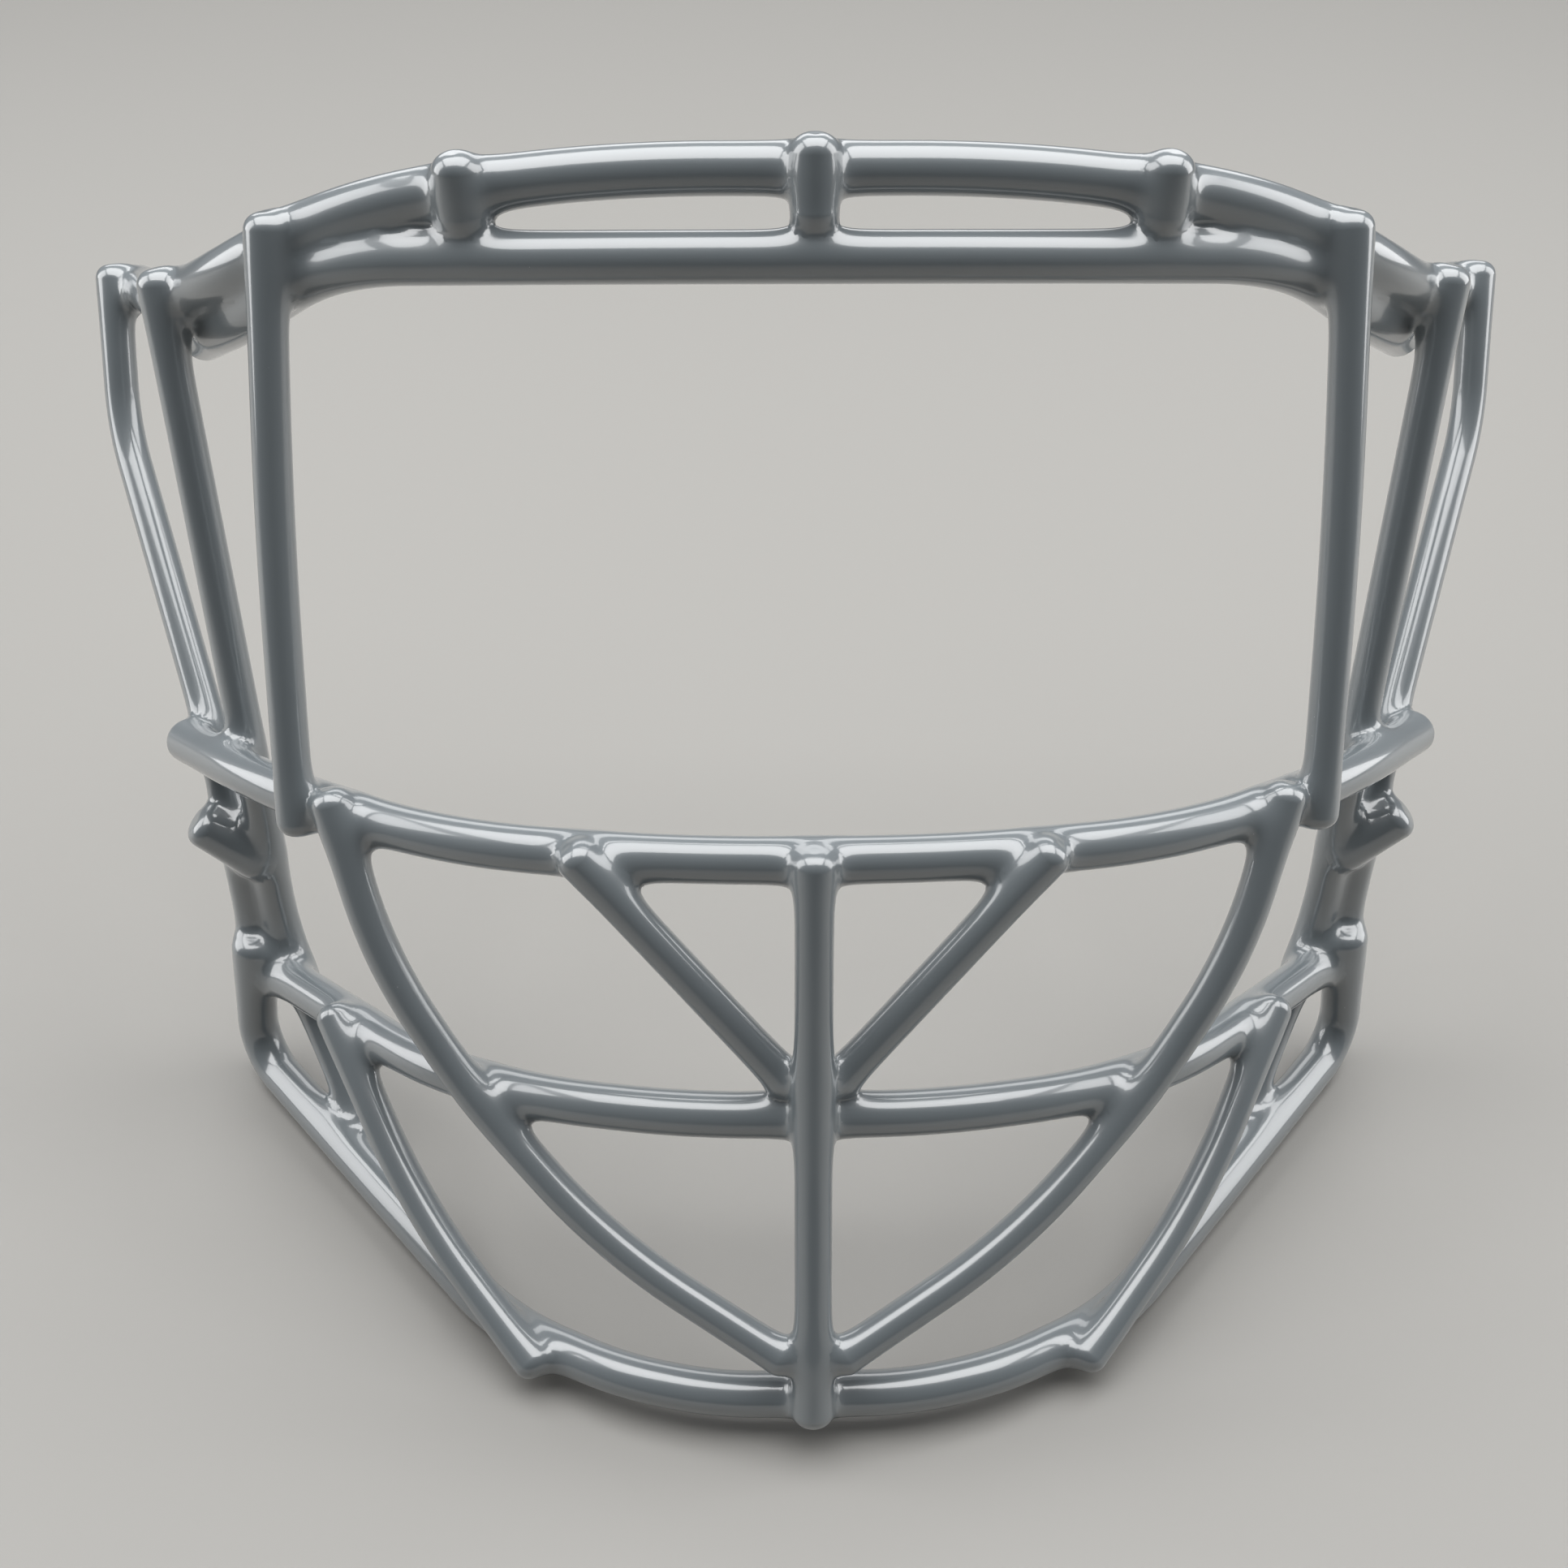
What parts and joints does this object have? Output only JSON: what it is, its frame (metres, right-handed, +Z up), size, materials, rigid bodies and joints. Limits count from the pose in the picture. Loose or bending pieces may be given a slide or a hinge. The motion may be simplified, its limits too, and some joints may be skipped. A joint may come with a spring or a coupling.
{
  "type": "football helmet facemask",
  "caption": "Football helmet facemask, a cage of bent and welded steel wires in a thick glossy grey coat, with an open eye window and barred mouth guard.",
  "frame": {"origin": "centre of the bounding box at floor level, with the mask leaned back on the straight arms of its chin bar", "axes": "+X towards the mask's right side in a front view, +Y towards the back (the wearer's face), +Z up from the floor; the front faces -Y"},
  "size_m": [0.2558, 0.1698, 0.1882],
  "materials": {
    "coat": "thick dipped gloss coat, blue grey",
    "wire": "bright drawn wire, hidden under the coat"
  },
  "bodies": {
    "root": {"brace_left_coat": "coat", "brace_left_steel": "wire", "brace_right_coat": "coat", "brace_right_steel": "wire", "brow_bar_coat": "coat", "brow_bar_steel": "wire", "centre_bar_coat": "coat", "centre_bar_steel": "wire", "centre_spacer_coat": "coat", "centre_spacer_steel": "wire", "chin_bar_coat": "coat", "chin_bar_steel": "wire", "clip_bar_left_coat": "coat", "clip_bar_left_steel": "wire", "clip_bar_right_coat": "coat", "clip_bar_right_steel": "wire", "front_upright_left_coat": "coat", "front_upright_left_steel": "wire", "front_upright_right_coat": "coat", "front_upright_right_steel": "wire", "jaw_bar_left_coat": "coat", "jaw_bar_left_steel": "wire", "jaw_bar_right_coat": "coat", "jaw_bar_right_steel": "wire", "mouth_bar_coat": "coat", "mouth_bar_steel": "wire", "mouth_sweep_left_coat": "coat", "mouth_sweep_left_steel": "wire", "mouth_sweep_right_coat": "coat", "mouth_sweep_right_steel": "wire", "nose_bar_coat": "coat", "nose_bar_steel": "wire", "rear_upright_left_coat": "coat", "rear_upright_left_steel": "wire", "rear_upright_right_coat": "coat", "rear_upright_right_steel": "wire", "side_spacer_left_coat": "coat", "side_spacer_left_steel": "wire", "side_spacer_right_coat": "coat", "side_spacer_right_steel": "wire", "side_upright_left_coat": "coat", "side_upright_left_steel": "wire", "side_upright_right_coat": "coat", "side_upright_right_steel": "wire", "top_bar_coat": "coat", "top_bar_steel": "wire"}
  },
  "joints": []
}
